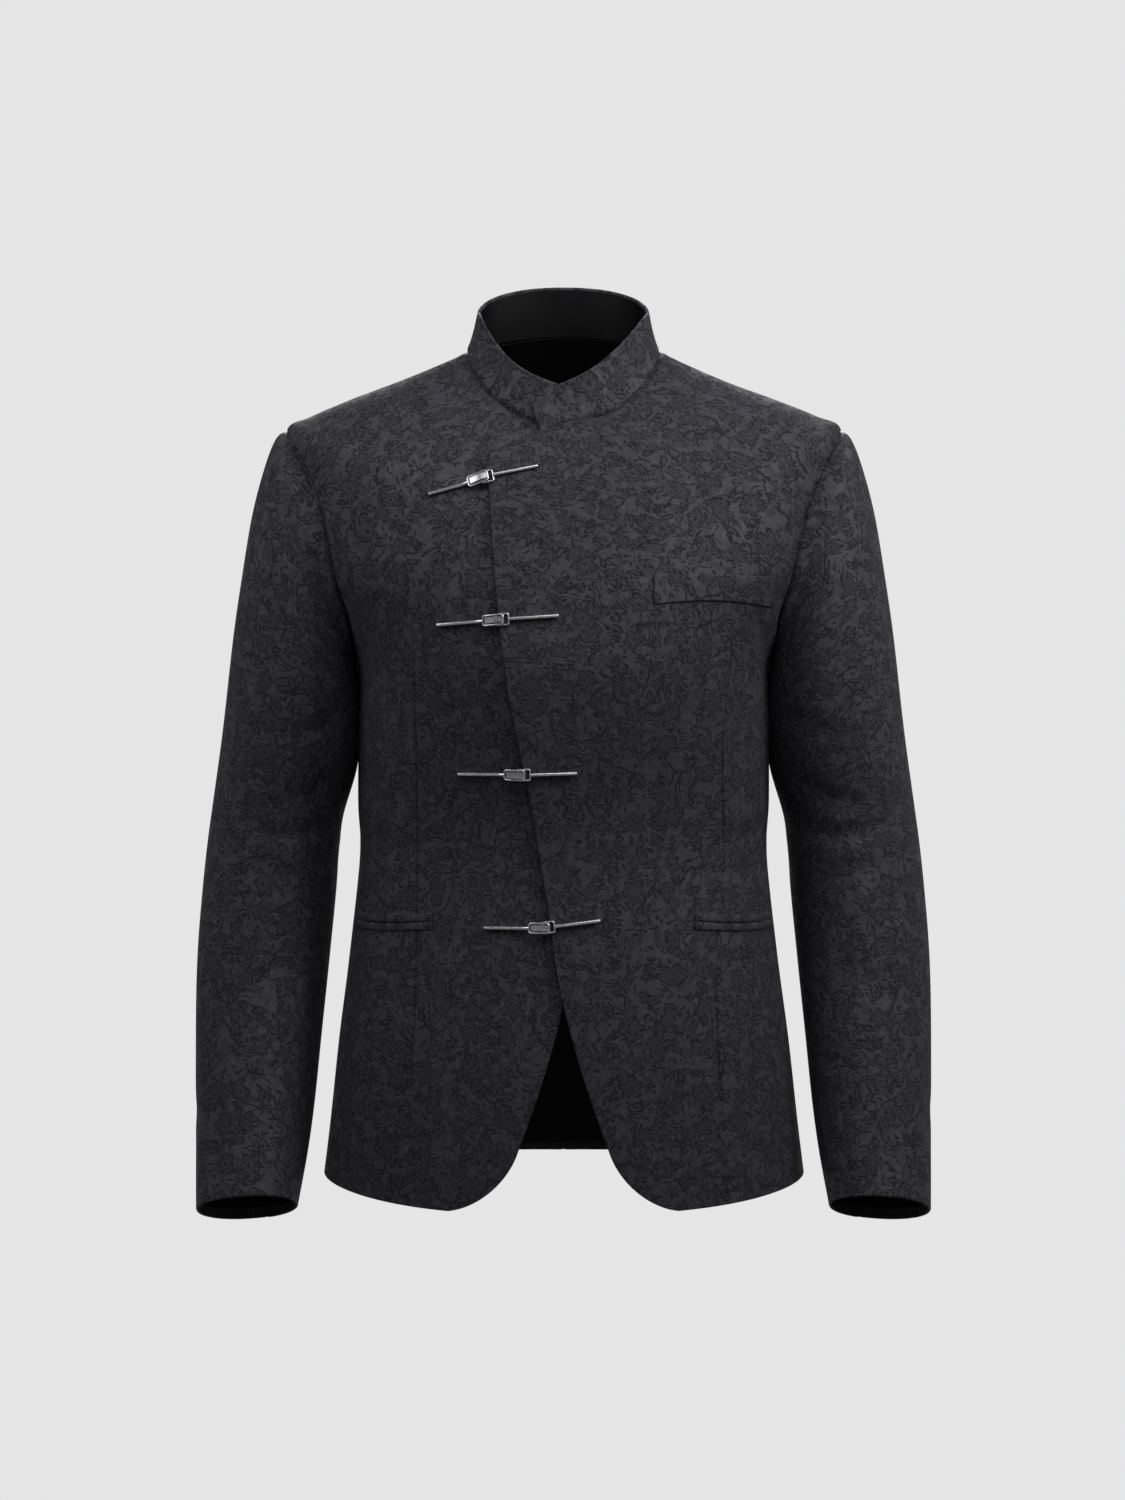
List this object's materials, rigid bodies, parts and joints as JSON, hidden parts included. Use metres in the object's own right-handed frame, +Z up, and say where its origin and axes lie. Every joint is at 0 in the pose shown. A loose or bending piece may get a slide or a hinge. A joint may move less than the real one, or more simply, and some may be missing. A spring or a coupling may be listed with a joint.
{
  "type": "mandarin collar blazer",
  "caption": "Hollow men's jacquard blazer with a standing collar, a slanting overlapped front held by bar clasps, a chest welt and jetted side pockets.",
  "frame": {"origin": "middle of the neck opening, level with the two side neck points where the shoulder seams meet the collar", "axes": "+Z up along the body, -Y towards the front of the garment, +X towards the wearer's left"},
  "size_m": [0.614, 0.2705, 0.7873],
  "materials": {
    "jacquard": "charcoal black satin jacquard with tone-on-tone flowers, leaves and stems, soft sheen",
    "lining": "plain black satin lining",
    "silver_metal": "brushed silver-coloured metal"
  },
  "bodies": {
    "root": {"front_left": "jacquard", "front_right": "jacquard", "back_left": "jacquard", "back_right": "jacquard", "collar_band": "jacquard", "sleeve_left_upper": "jacquard", "sleeve_left_under": "jacquard", "sleeve_right_upper": "jacquard", "sleeve_right_under": "jacquard", "chest_welt": "jacquard", "pocket_left_upper_jet": "jacquard", "pocket_left_lower_jet": "jacquard", "pocket_right_upper_jet": "jacquard", "pocket_right_lower_jet": "jacquard", "lining_back": "lining", "clasp_1_hook": "silver_metal", "clasp_1_loop": "silver_metal", "clasp_2_hook": "silver_metal", "clasp_2_loop": "silver_metal", "clasp_3_hook": "silver_metal", "clasp_3_loop": "silver_metal", "clasp_4_hook": "silver_metal", "clasp_4_loop": "silver_metal"}
  },
  "joints": []
}
